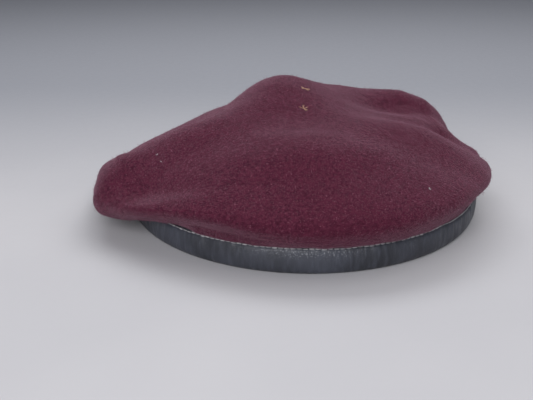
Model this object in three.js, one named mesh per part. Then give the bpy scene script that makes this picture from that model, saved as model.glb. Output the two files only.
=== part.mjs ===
// A soft wool beret with a leather binding round the head opening, lined and fitted with a draw tape.
// Millimetres. +Z is up, -Y is the front and +X is the wearer's left. Everything is first laid out round
// the middle of the head opening, with the flat underside of the binding at height 0; the last lines
// move the finished group so that the origin is under the middle of the whole beret.
//
// Places on the crown are named by two numbers: a direction (an angle round the head, 0 towards +X and
// counter-clockwise seen from above) and a stage along the felt, from its lower edge to the top.

import * as THREE from 'three';
import { mergeVertices } from 'three/addons/utils/BufferGeometryUtils.js';

// Driving dimensions.
const headRound = 570;
const openingLongOverWide = 1.074;
const roundSteps = 60;
const gap = 0.3;

const bindingWall = 7.1;
const bindingTop = 12.6;
const feltEdgeHeight = 4.2;
const feltInset = 1.8;
const feltThick = 2.4;
const seamHeight = 14;

const tape = { inset: 4.5, thick: 0.6, bottom: 3, top: 11 };
const liningDepth = 4.6;
const liningThick = 0.5;
const threadRadius = 0.28;
const finestStep = 0.02;
const mergeDistance = 0.001;

// The head opening is an oval. Its outline is measured at the binding, and an inset goes inwards from it.
const meanInnerRadius = headRound / (2 * Math.PI);
const innerHalfWide = meanInnerRadius * Math.sqrt(2 / (1 + openingLongOverWide ** 2));
const innerHalfLong = innerHalfWide * openingLongOverWide;

function ovalRadius(direction, inset = 0) {
  const halfWide = innerHalfWide + bindingWall - inset;
  const halfLong = innerHalfLong + bindingWall - inset;
  return 1 / Math.hypot(Math.cos(direction) / halfWide, Math.sin(direction) / halfLong);
}

function degrees(angle) {
  return THREE.MathUtils.degToRad(angle);
}

function placeAround(direction, radius, height) {
  return new THREE.Vector3(radius * Math.cos(direction), radius * Math.sin(direction), height);
}

// ---------------------------------------------------------------------------------------------------
// The felt's outer surface.

// How the sides of the crown leave the binding, every 30 degrees from the wearer's left (+X) round the
// back. "out" is how far past the binding's outline a point lies, "up" is its height. The hem is the
// underside's lowest stretch, the bulge is the widest one, and the shoulder, where the top begins, lies
// at a share of the outline's radius. The crown is pulled over to the wearer's right and droops there.
const sides = [
  { hem: { out: 2.5, up: 19 }, bulge: { out: 3.6, up: 26 }, shoulder: 0.80 },
  { hem: { out: 3, up: 17 }, bulge: { out: 5.2, up: 23 }, shoulder: 0.82 },
  { hem: { out: 3, up: 17 }, bulge: { out: 9, up: 24 }, shoulder: 0.86 },
  { hem: { out: 3, up: 16 }, bulge: { out: 9, up: 24 }, shoulder: 0.86 },
  { hem: { out: 4, up: 14 }, bulge: { out: 10, up: 20 }, shoulder: 0.84 },
  { hem: { out: 6, up: 11 }, bulge: { out: 12, up: 16 }, shoulder: 0.84 },
  { hem: { out: 8, up: 9 }, bulge: { out: 15, up: 16 }, shoulder: 0.86 },
  { hem: { out: 12, up: 8.3 }, bulge: { out: 22, up: 19 }, shoulder: 1.08 },
  { hem: { out: 3, up: 18.5 }, bulge: { out: 9, up: 27 }, shoulder: 0.94 },
  { hem: { out: 3, up: 17 }, bulge: { out: 8, up: 27 }, shoulder: 0.86 },
  { hem: { out: 3, up: 17 }, bulge: { out: 8, up: 28 }, shoulder: 0.86 },
  { hem: { out: 4, up: 19 }, bulge: { out: 7.5, up: 29 }, shoulder: 0.84 },
];

// The top is a shallow dome with soft folds and dents in it. Each fold is a rounded rise (or dent, where
// the rise is negative) centred at x, y, with half lengths along and across its own heading.
const dome = { height: 48, fall: 20, steepness: 2.4, radius: 95 };
const folds = [
  { name: 'peak', x: -10, y: 2, rise: 19.5, along: 34, across: 38, heading: 0 },
  { name: 'front right ridge', x: -62, y: -36, rise: 9.5, along: 38, across: 20, heading: 8 },
  { name: 'drooping tip', x: -99, y: -52, rise: 11, along: 17, across: 22, heading: 0 },
  { name: 'front left ridge', x: 56, y: -36, rise: 9, along: 33, across: 18, heading: -4 },
  { name: 'back left lobe', x: 65, y: 32, rise: 13, along: 30, across: 22, heading: 0 },
  { name: 'notch on the left', x: 86, y: 0, rise: -7, along: 14, across: 16, heading: 0 },
  { name: 'back of the crown', x: 14, y: 56, rise: 7, along: 50, across: 30, heading: 0 },
  { name: 'front panel', x: 0, y: -72, rise: 12, along: 70, across: 28, heading: 0 },
  { name: 'slope to the back right', x: -85, y: 30, rise: -8, along: 34, across: 34, heading: 0 },
];

function topHeight(x, y) {
  const fromMiddle = Math.hypot(x, y) / dome.radius;
  let height = dome.height - dome.fall * fromMiddle ** dome.steepness;
  for (const fold of folds) {
    const offset = new THREE.Vector2(x - fold.x, y - fold.y);
    offset.rotateAround(new THREE.Vector2(), -degrees(fold.heading));
    height += fold.rise * Math.exp(-((offset.x / fold.along) ** 2) - (offset.y / fold.across) ** 2);
  }
  return height;
}

// A smooth curve through four values in a row, between the second and the third (Catmull-Rom).
function smooth(before, from, to, after, share) {
  const start = (to - before) / 2;
  const end = (after - from) / 2;
  const bend = 3 * (to - from) - 2 * start - end;
  const twist = 2 * (from - to) + start + end;
  return from + share * (start + share * (bend + share * twist));
}

function sideAt(direction, pick) {
  const place = THREE.MathUtils.euclideanModulo(direction / (2 * Math.PI), 1) * sides.length;
  const first = Math.floor(place);
  const near = (step) => pick(sides[(first + step + sides.length) % sides.length]);
  return smooth(near(-1), near(0), near(1), near(2), place - first);
}

// Stages along the felt: 0 its lower edge, 1 the seam at the top of the binding, 2 the hem, 3 the bulge,
// 4 the shoulder and 5 the middle of the top. The side's curve is led on to a point of the top that lies
// at a share of the shoulder's radius.
const stage = { edge: 0, seam: 1, hem: 2, bulge: 3, shoulder: 4, middle: 5 };
const leadOnShare = 0.8;

function profileKnots(direction) {
  const outline = ovalRadius(direction);
  const shoulderRadius = outline * sideAt(direction, (side) => side.shoulder);
  const onTop = (radius) => {
    const place = placeAround(direction, radius, 0);
    return new THREE.Vector2(radius, topHeight(place.x, place.y));
  };
  const seam = new THREE.Vector2(ovalRadius(direction, feltInset), seamHeight);
  const hem = new THREE.Vector2(
    outline + sideAt(direction, (side) => side.hem.out),
    sideAt(direction, (side) => side.hem.up),
  );
  const bulge = new THREE.Vector2(
    outline + sideAt(direction, (side) => side.bulge.out),
    sideAt(direction, (side) => side.bulge.up),
  );
  const beforeSeam = seam.clone().multiplyScalar(2).sub(hem);
  const shoulder = onTop(shoulderRadius);
  const pastShoulder = onTop(shoulderRadius * leadOnShare);
  return { onTop, shoulderRadius, curve: [beforeSeam, seam, hem, bulge, shoulder, pastShoulder] };
}

function crownPoint(direction, along) {
  if (along <= stage.seam) {
    const height = THREE.MathUtils.lerp(feltEdgeHeight, seamHeight, along);
    return placeAround(direction, ovalRadius(direction, feltInset), height);
  }
  const { onTop, shoulderRadius, curve } = profileKnots(direction);
  if (along >= stage.shoulder) {
    const point = onTop(shoulderRadius * (stage.middle - along));
    return placeAround(direction, point.x, point.y);
  }
  const segment = Math.floor(along);
  const share = along - segment;
  const [before, from, to, after] = curve.slice(segment - 1, segment + 3);
  return placeAround(
    direction,
    smooth(before.x, from.x, to.x, after.x, share),
    smooth(before.y, from.y, to.y, after.y, share),
  );
}

function outwards(direction, along) {
  const top = new THREE.Vector3(0, 0, 1);
  if (along > stage.middle - finestStep) {
    const east = topHeight(1, 0) - topHeight(-1, 0);
    const north = topHeight(0, 1) - topHeight(0, -1);
    return top.set(-east / 2, -north / 2, 1).normalize();
  }
  const lower = Math.max(along - finestStep, stage.edge);
  const round = crownPoint(direction + finestStep, along).sub(crownPoint(direction - finestStep, along));
  const up = crownPoint(direction, along + finestStep).sub(crownPoint(direction, lower));
  return round.cross(up).normalize();
}

// A point under the felt's outer surface, at a depth measured square to it.
function crownLayer(direction, along, depth) {
  return crownPoint(direction, along).addScaledVector(outwards(direction, along), -depth);
}

// ---------------------------------------------------------------------------------------------------
// Solids.

// A solid from its corner points and its faces of four corners. Corners that coincide are merged, and a
// face that shrinks to a line there is dropped.
function solid(points, quads) {
  const flat = quads.flatMap(([a, b, c, d]) => [a, b, c, a, c, d]);
  const loose = new THREE.BufferGeometry().setFromPoints(points);
  loose.setIndex(flat);
  const geometry = mergeVertices(loose, mergeDistance);
  const merged = Array.from(geometry.index.array);
  const faces = Array.from({ length: merged.length / 3 }, (_, face) => merged.slice(3 * face, 3 * face + 3));
  geometry.setIndex(faces.filter((corners) => new Set(corners).size === 3).flat());
  geometry.computeVertexNormals();
  return geometry;
}

function steps(from, to, count) {
  return Array.from({ length: count + 1 }, (_, step) => THREE.MathUtils.lerp(from, to, step / count));
}

const directions = steps(0, 2 * Math.PI, roundSteps).slice(0, roundSteps);

// A ring made by sweeping a closed section round the opening. sectionAt gives the section's points for a
// direction, going anticlockwise when seen with the radius to the right and the height upwards.
function ringSolid(sectionAt) {
  const points = directions.flatMap(sectionAt);
  const corners = points.length / roundSteps;
  const quads = [];
  for (let around = 0; around < roundSteps; around += 1) {
    const here = around * corners;
    const next = ((around + 1) % roundSteps) * corners;
    for (let corner = 0; corner < corners; corner += 1) {
      const after = (corner + 1) % corners;
      quads.push([here + corner, next + corner, next + after, here + after]);
    }
  }
  return solid(points, quads);
}

// A sheet with an outer face (level 0) and an inner face (level 1), over a grid of columns and rows.
// pointAt gives the corner for a column, a row and a level. A wrapped sheet's last column meets its first.
function sheetSolid(columns, rows, pointAt, wrapped) {
  const points = [0, 1].flatMap((level) => (
    columns.flatMap((column) => rows.map((row) => pointAt(column, row, level)))
  ));
  const at = (column, row, level) => (
    (level * columns.length + (column % columns.length)) * rows.length + row
  );
  const lastColumn = wrapped ? columns.length : columns.length - 1;
  const lastRow = rows.length - 1;
  const quads = [];
  for (let left = 0; left < lastColumn; left += 1) {
    const right = left + 1;
    for (let low = 0; low < lastRow; low += 1) {
      const high = low + 1;
      quads.push([at(left, low, 0), at(right, low, 0), at(right, high, 0), at(left, high, 0)]);
      quads.push([at(left, low, 1), at(left, high, 1), at(right, high, 1), at(right, low, 1)]);
    }
    quads.push([at(left, 0, 0), at(left, 0, 1), at(right, 0, 1), at(right, 0, 0)]);
    quads.push([at(left, lastRow, 0), at(right, lastRow, 0), at(right, lastRow, 1), at(left, lastRow, 1)]);
  }
  if (!wrapped) {
    for (let low = 0; low < lastRow; low += 1) {
      const high = low + 1;
      quads.push([at(0, low, 0), at(0, high, 0), at(0, high, 1), at(0, low, 1)]);
      quads.push([
        at(lastColumn, low, 0), at(lastColumn, low, 1), at(lastColumn, high, 1), at(lastColumn, high, 0),
      ]);
    }
  }
  return solid(points, quads);
}

// A layer that goes right round the crown between two depths, over the given stages.
function layerSolid(stages, depths) {
  const pointAt = (direction, along, level) => crownLayer(direction, along, depths[level]);
  return sheetSolid(directions, stages, pointAt, true);
}

// A thin thread that runs round the beret, with a diamond section, centred where centreAt says.
function threadRing(centreAt) {
  return ringSolid((direction) => {
    const centre = centreAt(direction);
    const out = placeAround(direction, threadRadius, 0);
    const up = new THREE.Vector3(0, 0, threadRadius);
    return [
      centre.clone().add(up),
      centre.clone().sub(out),
      centre.clone().sub(up),
      centre.clone().add(out),
    ];
  });
}

// ---------------------------------------------------------------------------------------------------
// The pieces.

const finishes = {
  wool: { color: 0x5a2a3a, roughness: 0.95 },
  leather: { color: 0x3c3f47, roughness: 0.5 },
  paleThread: { color: 0x9a9aa2, roughness: 0.8 },
  darkThread: { color: 0x17171b, roughness: 0.8 },
  cottonTape: { color: 0x1b1b1f, roughness: 0.85 },
  satin: { color: 0x17171b, roughness: 0.4 },
  board: { color: 0x6d5a45, roughness: 0.8 },
  labelCloth: { color: 0xb9b6ae, roughness: 0.7 },
};

function piece(name, geometry, finish) {
  const material = new THREE.MeshStandardMaterial({ ...finish, metalness: 0 });
  const mesh = new THREE.Mesh(geometry, material);
  mesh.name = name;
  return mesh;
}

const sideStages = [
  ...steps(stage.seam, stage.hem, 3),
  ...steps(stage.hem, stage.bulge, 3).slice(1),
  ...steps(stage.bulge, stage.shoulder, 4).slice(1),
];
const topStages = steps(stage.shoulder, stage.middle, 7);

function woolShell() {
  const stages = [stage.edge, ...sideStages, ...topStages.slice(1)];
  return piece('wool_shell', layerSolid(stages, [0, feltThick]), finishes.wool);
}

// The binding is one strip of leather folded up both faces of the felt's edge. Its section is listed as
// inset from the outline and height: up the outer face, over its top, down into the channel that holds
// the felt and the tape, up to the inner top and down the inner face to the flat underside.
const bindingSection = [
  [0.5, 0], [-0.7, 1.8], [-1.2, 6.5], [-0.7, 11], [0.3, bindingTop],
  [1.1, bindingTop], [1.5, 12], [1.5, 2], [2.1, 1.5],
  [4.8, 1.5], [5.4, 2], [5.4, 12.8], [5.8, 13.4],
  [6.4, 13.4], [6.9, 12.6], [7.1, 6.5], [6.9, 1.4], [5.8, 0],
];

function leatherBinding() {
  const section = (direction) => bindingSection.map(([inset, height]) => (
    placeAround(direction, ovalRadius(direction, inset), height)
  ));
  return piece('leather_binding', ringSolid(section), finishes.leather);
}

// The binding is sewn through with a needle thread that shows outside and a bobbin thread inside.
const needleThread = { name: 'binding_needle_thread', inset: -0.35, height: 12.2 };
const bobbinThread = { name: 'binding_bobbin_thread', inset: 7.65, height: 11 };

function bindingThread({ name, inset, height }, finish) {
  const centre = (direction) => placeAround(direction, ovalRadius(direction, inset), height);
  return piece(name, threadRing(centre), finish);
}

function drawTape() {
  const section = (direction) => {
    const outer = ovalRadius(direction, tape.inset);
    const inner = ovalRadius(direction, tape.inset + tape.thick);
    return [[outer, tape.bottom], [outer, tape.top], [inner, tape.top], [inner, tape.bottom]]
      .map(([radius, height]) => placeAround(direction, radius, height));
  };
  return piece('draw_tape', ringSolid(section), finishes.cottonTape);
}

// The lining is smaller than the felt. Its side strip leans straight from the inner edge of the binding
// up to the shoulder, and its tip closes it at the top. A narrow joint is left open between the two, and
// the thread of that seam runs a little way in from it. The joint and the thread's place are stages.
const liningHem = { inset: 6.6, height: 16.5, belly: 2.5 };
const liningRows = 6;
const liningJoint = 0.008;
const threadInset = 0.09;

function liningSidePoint(direction, share, depth) {
  const low = placeAround(direction, ovalRadius(direction, liningHem.inset + depth), liningHem.height);
  const high = crownLayer(direction, stage.shoulder - liningJoint, liningDepth + depth);
  const belly = placeAround(direction, liningHem.belly * Math.sin(Math.PI * share), 0);
  return low.lerp(high, share).add(belly);
}

function liningSide() {
  const depths = [0, liningThick];
  const pointAt = (direction, share, level) => liningSidePoint(direction, share, depths[level]);
  const strip = sheetSolid(directions, steps(0, 1, liningRows), pointAt, true);
  return piece('lining_side', strip, finishes.satin);
}

function liningTip() {
  const stages = [stage.shoulder + liningJoint, ...topStages.slice(1)];
  const depths = [liningDepth, liningDepth + liningThick];
  return piece('lining_tip', layerSolid(stages, depths), finishes.satin);
}

const threadClearance = 2 * gap + threadRadius * Math.SQRT2;

function liningSeamThread() {
  const depth = liningDepth + liningThick + threadClearance;
  const centre = (direction) => crownLayer(direction, stage.shoulder + threadInset, depth);
  return piece('lining_seam_thread', threadRing(centre), finishes.darkThread);
}

function liningHemThread() {
  const firstRow = 1 / liningRows;
  const centre = (direction) => liningSidePoint(direction, firstRow, liningThick + threadClearance);
  return piece('lining_hem_thread', threadRing(centre), finishes.darkThread);
}

// A stiffening board for a badge stands inside the front of the wearer's left side, between the felt and
// the lining. It covers whole steps of the felt's own grid, so that it keeps an even gap to both.
const badgeBoard = { firstStep: 49, lastStep: 54, firstStage: 3.25, thick: 1.2 };

function badgeStiffener() {
  const columns = directions.slice(badgeBoard.firstStep, badgeBoard.lastStep + 1);
  const rows = [...sideStages.filter((along) => along >= badgeBoard.firstStage), topStages[1], topStages[2]];
  const depths = [feltThick + gap, feltThick + gap + badgeBoard.thick];
  const pointAt = (direction, along, level) => crownLayer(direction, along, depths[level]);
  const board = sheetSolid(columns, rows, pointAt, false);
  return piece('badge_stiffener', board, finishes.board);
}

// A blank label under the lining tip, with the stitching round its edge.
const label = { x: 6, y: 34, long: 48, wide: 24, thick: 0.4, depth: liningDepth + liningThick + 3 * gap };
const labelMargin = 2;

function underTop(x, y, depth) {
  const slopeX = topHeight(x + 1, y) - topHeight(x - 1, y);
  const slopeY = topHeight(x, y + 1) - topHeight(x, y - 1);
  const up = new THREE.Vector3(-slopeX / 2, -slopeY / 2, 1).normalize();
  return new THREE.Vector3(x, y, topHeight(x, y)).addScaledVector(up, -depth);
}

function sizeLabel() {
  const columns = steps(label.x - label.long / 2, label.x + label.long / 2, 8);
  const rows = steps(label.y - label.wide / 2, label.y + label.wide / 2, 4);
  const depths = [label.depth, label.depth + label.thick];
  const patch = sheetSolid(columns, rows, (x, y, level) => underTop(x, y, depths[level]), false);
  return piece('size_label', patch, finishes.labelCloth);
}

function labelThread() {
  const halfLong = label.long / 2 - labelMargin;
  const halfWide = label.wide / 2 - labelMargin;
  const depth = label.depth + label.thick + threadClearance;
  const section = (direction) => {
    const longShare = Math.abs(Math.cos(direction)) / halfLong;
    const wideShare = Math.abs(Math.sin(direction)) / halfWide;
    const reach = 1 / Math.max(longShare, wideShare);
    const across = threadRadius / reach;
    const at = (share, lift) => underTop(
      label.x + share * reach * Math.cos(direction),
      label.y + share * reach * Math.sin(direction),
      depth - lift,
    );
    return [at(1, threadRadius), at(1 - across, 0), at(1, -threadRadius), at(1 + across, 0)];
  };
  return piece('label_thread', ringSolid(section), finishes.darkThread);
}

// ---------------------------------------------------------------------------------------------------
// The beret, moved so that the origin is under the middle of its whole size.

const beret = new THREE.Group();
beret.add(
  woolShell(),
  leatherBinding(),
  bindingThread(needleThread, finishes.paleThread),
  bindingThread(bobbinThread, finishes.darkThread),
  drawTape(),
  liningSide(),
  liningTip(),
  liningSeamThread(),
  liningHemThread(),
  badgeStiffener(),
  sizeLabel(),
  labelThread(),
);

const middle = new THREE.Box3().setFromObject(beret, true).getCenter(new THREE.Vector3());
beret.position.set(-middle.x, -middle.y, 0);
beret.updateMatrixWorld(true);

export default beret;
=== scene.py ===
import math

import bmesh
import bpy
import numpy as np
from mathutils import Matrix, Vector, noise


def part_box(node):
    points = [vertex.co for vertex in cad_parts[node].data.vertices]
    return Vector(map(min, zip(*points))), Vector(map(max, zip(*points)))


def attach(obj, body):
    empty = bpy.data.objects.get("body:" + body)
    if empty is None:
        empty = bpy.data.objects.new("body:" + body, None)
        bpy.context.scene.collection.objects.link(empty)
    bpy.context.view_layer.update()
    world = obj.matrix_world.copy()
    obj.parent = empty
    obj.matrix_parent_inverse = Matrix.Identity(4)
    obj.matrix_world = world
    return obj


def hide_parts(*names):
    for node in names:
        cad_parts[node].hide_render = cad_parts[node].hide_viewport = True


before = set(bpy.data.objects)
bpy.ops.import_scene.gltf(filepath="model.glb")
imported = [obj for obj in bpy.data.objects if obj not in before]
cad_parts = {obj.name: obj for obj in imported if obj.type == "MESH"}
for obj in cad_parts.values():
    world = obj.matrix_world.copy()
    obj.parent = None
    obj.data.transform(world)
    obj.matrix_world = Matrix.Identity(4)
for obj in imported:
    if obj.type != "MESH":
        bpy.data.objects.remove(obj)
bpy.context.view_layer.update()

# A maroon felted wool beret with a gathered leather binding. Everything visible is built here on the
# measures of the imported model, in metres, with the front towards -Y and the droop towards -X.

MM = 0.001
FULL_TURN = 2 * math.pi
random_source = np.random.default_rng(57)


# ------------------------------------------------------------------------------------------------
# Measures read from the frame.

PACKED_DIRECTIONS = 60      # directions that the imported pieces' corners lie in
DIRECTION_SLACK = 1.2 * MM  # the most that a corner's radius times its share of a step off may be
LEVEL_SLACK = 0.1 * MM      # how far above the lowest corner still counts as the lower edge
PLANE_SLACK = 0.01 * MM     # how far off the opening's middle plane still counts as on it
BINDING_BELLY = 1.2 * MM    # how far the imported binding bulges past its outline
FELT_THICK = 2.4 * MM
LINING_DEPTH = 4.6 * MM     # how far under the felt's face the lining lies
LINING_THICK = 0.5 * MM

binding_low, binding_high = (np.array(corner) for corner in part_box("leather_binding"))
opening_middle = (binding_low + binding_high)[:2] / 2
outline_half = (binding_high - binding_low)[:2] / 2 - BINDING_BELLY
mean_outline = float(outline_half.mean())


def outline_radius(direction, inset):
    """How far from the opening's middle a ring lies that is inset from the binding's outline."""
    half_wide, half_long = outline_half[0] - inset, outline_half[1] - inset
    return 1 / np.hypot(np.cos(direction) / half_wide, np.sin(direction) / half_long)


def place_around(direction, radius, height):
    """A point, or an array of them, at a direction and a radius round the head opening."""
    x = opening_middle[0] + radius * np.cos(direction)
    y = opening_middle[1] + radius * np.sin(direction)
    return np.stack(np.broadcast_arrays(x, y, height), axis=-1)


def around(count):
    return np.arange(count) * FULL_TURN / count


def packed_corners(node):
    """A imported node's merged corners and, for each, the set of corners that it shares an edge with."""
    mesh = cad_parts[node].data
    loose = np.array([vertex.co[:] for vertex in mesh.vertices])
    merged, to_merged = np.unique(np.round(loose, 6), axis=0, return_inverse=True)
    to_merged = to_merged.ravel()
    neighbours = [set() for _ in merged]
    for polygon in mesh.polygons:
        corners = to_merged[list(polygon.vertices)]
        for corner, following in zip(corners, np.roll(corners, -1)):
            neighbours[corner].add(int(following))
            neighbours[following].add(int(corner))
    return merged, neighbours


def felt_columns():
    """The corners of the felt's outer face, as columns that climb from its lower edge to the top.

    Those corners lie in PACKED_DIRECTIONS exact directions, and edges join them up each column.
    """
    corners, neighbours = packed_corners("wool_shell")
    offset = corners[:, :2] - opening_middle
    radius = np.hypot(offset[:, 0], offset[:, 1])
    turn = np.arctan2(offset[:, 1], offset[:, 0]) * PACKED_DIRECTIONS / FULL_TURN
    exact = np.abs(turn - np.round(turn)) * radius < DIRECTION_SLACK
    column_of = np.round(turn).astype(int) % PACKED_DIRECTIONS
    middle = int(np.argmin(radius - corners[:, 2]))
    low = corners[:, 2].min() + LEVEL_SLACK
    columns = []
    for column in range(PACKED_DIRECTIONS):
        in_column = exact & (column_of == column)
        start = max(np.flatnonzero(in_column & (corners[:, 2] < low)), key=lambda index: radius[index])
        path = [int(start)]
        while path[-1] != middle:
            beyond = [
                index for index in neighbours[path[-1]]
                if (in_column[index] or index == middle) and index not in path
            ]
            path.append(max(beyond, key=lambda index: math.dist(corners[index], corners[path[-1]])))
        columns.append(corners[path])
    return np.array(columns)


def ring_section(node):
    """A packed ring's section as (inset from the outline, height), from its widest corner upwards."""
    corners, neighbours = packed_corners(node)
    offset = corners[:, :2] - opening_middle
    here = set(np.flatnonzero((np.abs(offset[:, 1]) < PLANE_SLACK) & (offset[:, 0] > 0)).tolist())
    path = [max(here, key=lambda index: offset[index, 0])]
    while len(path) < len(here):
        ahead = [index for index in here & neighbours[path[-1]] if index not in path]
        path.append(max(ahead, key=lambda index: corners[index, 2]))
    return np.stack([outline_half[0] - offset[path, 0], corners[path, 2]], axis=-1)


# ------------------------------------------------------------------------------------------------
# Smooth curves and surfaces.

def smooth_through(grid, places, axis, wrapped=False):
    """Reads a grid at fractional places along an axis, on smooth curves through its points."""
    first = np.floor(places).astype(int)
    share = places - first
    weights = (
        -share / 2 + share ** 2 - share ** 3 / 2,
        1 - 2.5 * share ** 2 + 1.5 * share ** 3,
        share / 2 + 2 * share ** 2 - 1.5 * share ** 3,
        share ** 3 / 2 - share ** 2 / 2,
    )
    shape = [1] * grid.ndim
    shape[axis] = len(places)
    total = 0
    for step, weight in zip((-1, 0, 1, 2), weights):
        index = first + step
        index = index % grid.shape[axis] if wrapped else np.clip(index, 0, grid.shape[axis] - 1)
        total = total + np.take(grid, index, axis=axis) * weight.reshape(shape)
    return total


def blend_in(values, start, end):
    """0 up to start, 1 from end, and a soft step between them."""
    share = np.clip((np.asarray(values, float) - start) / (end - start), 0, 1)
    return share * share * (3 - 2 * share)


def unit(vectors):
    return vectors / np.maximum(np.linalg.norm(vectors, axis=-1, keepdims=True), 1e-12)


def outwards(grid):
    """Directions square to a wrapped grid of columns and rows, away from its inside."""
    round_way = np.roll(grid, -1, axis=0) - np.roll(grid, 1, axis=0)
    up = np.gradient(grid, axis=1)
    square = np.cross(round_way, up)
    square[:, -1] = square[:, -2].mean(axis=0)
    return unit(square)


def rough(points, size, octaves, seed):
    """Soft noise at points, with features of about the given size."""
    flat = points.reshape(-1, 3) / size + seed
    values = [noise.fractal(Vector(point), 1.0, 2.0, octaves) for point in flat]
    return np.array(values).reshape(points.shape[:-1])


# ------------------------------------------------------------------------------------------------
# The felt's surface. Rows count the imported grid's own rings from the seam: 0 is the seam, 3 the hem,
# 6 the bulge, 10 the shoulder and 17 the middle of the top.

ROW = {"seam": 0, "hem": 3, "bulge": 6, "shoulder": 10, "middle": 17}
FELT_COLUMNS = 480
SIDE_STEPS = 5              # fine rows for each packed row up the side
TOP_STEPS = 9               # and over the top

felt_packed = felt_columns()
felt_edge_height = felt_packed[0, 0, 2]
seam_height = felt_packed[0, 1, 2]
OUTER_TOP = 12.6 * MM       # the top of the binding's outer face
FELT_INSET = 1.8 * MM       # from the outline in to the felt's face, where the binding holds it

SEAM_WAVE = 0.55 * MM       # how far the hand-held seam wanders up and down


def seam_wave(directions):
    return SEAM_WAVE * rough(place_around(directions, mean_outline, 0.0), 17 * MM, 2, 61.0)


# The felt turns out over the leather's top edge and rests on it, so its first two rows are given here,
# each at an inset from the outline and a rise over the leather's edge.
TURNED_ROWS = ((0.9 * MM, 0.35 * MM), (-0.35 * MM, 0.7 * MM))

packed_directions = around(PACKED_DIRECTIONS)
felt_turn = OUTER_TOP + seam_wave(packed_directions)
felt_grid = felt_packed[:, 1:].copy()
for row, (inset, rise) in enumerate(TURNED_ROWS):
    turned_radius = outline_radius(packed_directions, inset)
    felt_grid[:, row] = place_around(packed_directions, turned_radius, felt_turn + rise)
felt_grid[:, 2] = (felt_grid[:, 1] + felt_grid[:, 3]) / 2
over_the_top = np.roll(felt_packed, PACKED_DIRECTIONS // 2, axis=0)[:, -2:-4:-1]
felt_grid = np.concatenate([felt_grid, over_the_top], axis=1)


def row_places(side_steps, top_steps):
    """Row numbers from the seam to the middle of the top, with so many steps for each packed row."""
    side = np.arange(ROW["seam"], ROW["shoulder"], 1 / side_steps)
    top = np.arange(ROW["shoulder"], ROW["middle"], 1 / top_steps)
    return np.concatenate([side, top, [ROW["middle"]]])


felt_rows = row_places(SIDE_STEPS, TOP_STEPS)


def felt_at(column_count, rows):
    """The felt's face on a finer grid of columns, at the given packed rows."""
    places = np.arange(column_count) * PACKED_DIRECTIONS / column_count
    return smooth_through(smooth_through(felt_grid, places, 0, wrapped=True), rows, 1)


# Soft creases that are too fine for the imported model. Each is a rounded rise, or dent where the rise
# is negative, at a place on the crown seen from above: x, y, rise, how long, how wide, heading, and the
# height that it starts from. It comes in over CREASE_FADE above that. All but the heading, in degrees,
# are in millimetres.
CREASE_FADE = 8
CREASES = [
    (-98, -41, 3.6, 10, 14, 0, 20),
    (-98, -57, 2.0, 7, 9, 0, 4),
    (-101, -54, -0.8, 7, 9, 0, 12),
    (-99, -44, -0.7, 7, 5, 0, 22),
    (-96, -35, 0.6, 5, 6, 0, 22),
    (-85, -37, -1.4, 7, 7, 0, 28),
    (-95, -61, 0.9, 8, 6, 0, 2),
    (-74, -71, -1.5, 13, 7, -32, 3),
    (-54, -79, -1.0, 11, 6, -30, 8),
    (-38, 30, -2.2, 11, 28, 0, 20),
    (-90, 8, -1.2, 12, 24, 0, 14),
    (12, 20, -0.9, 20, 10, 42, 30),
    (31, 42, 0.9, 8, 10, 0, 30),
    (58, 36, -0.8, 13, 11, 0, 30),
    (84, 30, 1.6, 8, 9, 0, 32),
    (98, 19, -2.2, 9, 14, 0, 12),
    (104, -10, -1.6, 7, 10, 0, 12),
    (64, 4, 1.6, 28, 9, 20, 25),
    (64, 12, -3.8, 27, 8, 20, 25),
    (76, 30, -1.0, 9, 8, 0, 30),
    (86, 6, 1.4, 13, 9, -10, 15),
    (91, 36, 1.9, 6, 9, 0, 20),
    (99, 27, -2.0, 7, 7, 0, 8),
    (88, -61, -1.0, 10, 12, 0, 8),
]


# The felt stands fuller just above the seam at the front, between two directions in degrees.
FULLNESS = {"rise": 1.7 * MM, "low_row": 0.6, "start": 238, "end": 318, "fade": 25}


def fuller():
    """How far the felt stands out above the seam, for each fine column and row."""
    degrees = np.degrees(around(FELT_COLUMNS))[:, None]
    sector = blend_in(degrees, FULLNESS["start"], FULLNESS["start"] + FULLNESS["fade"])
    sector = sector * (1 - blend_in(degrees, FULLNESS["end"] - FULLNESS["fade"], FULLNESS["end"]))
    rise = blend_in(felt_rows, FULLNESS["low_row"], ROW["hem"])
    fall = 1 - blend_in(felt_rows, ROW["hem"], ROW["bulge"])
    return FULLNESS["rise"] * sector * (rise * fall)[None, :]


def creased(grid):
    """The grid with every crease pushed out of it, or into it."""
    lift = np.zeros(grid.shape[:2])
    for middle_x, middle_y, rise, long, wide, heading, start in CREASES:
        x = grid[..., 0] - middle_x * MM
        y = grid[..., 1] - middle_y * MM
        turn = math.radians(heading)
        along = (x * math.cos(turn) + y * math.sin(turn)) / (long * MM)
        across = (y * math.cos(turn) - x * math.sin(turn)) / (wide * MM)
        above = blend_in(grid[..., 2], start * MM, (start + CREASE_FADE) * MM)
        lift += rise * MM * np.exp(-along ** 2 - across ** 2) * above
    return grid + outwards(grid) * lift[..., None]


# ------------------------------------------------------------------------------------------------
# Cloth simulation.

SETTLE_FRAMES = 16


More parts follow.
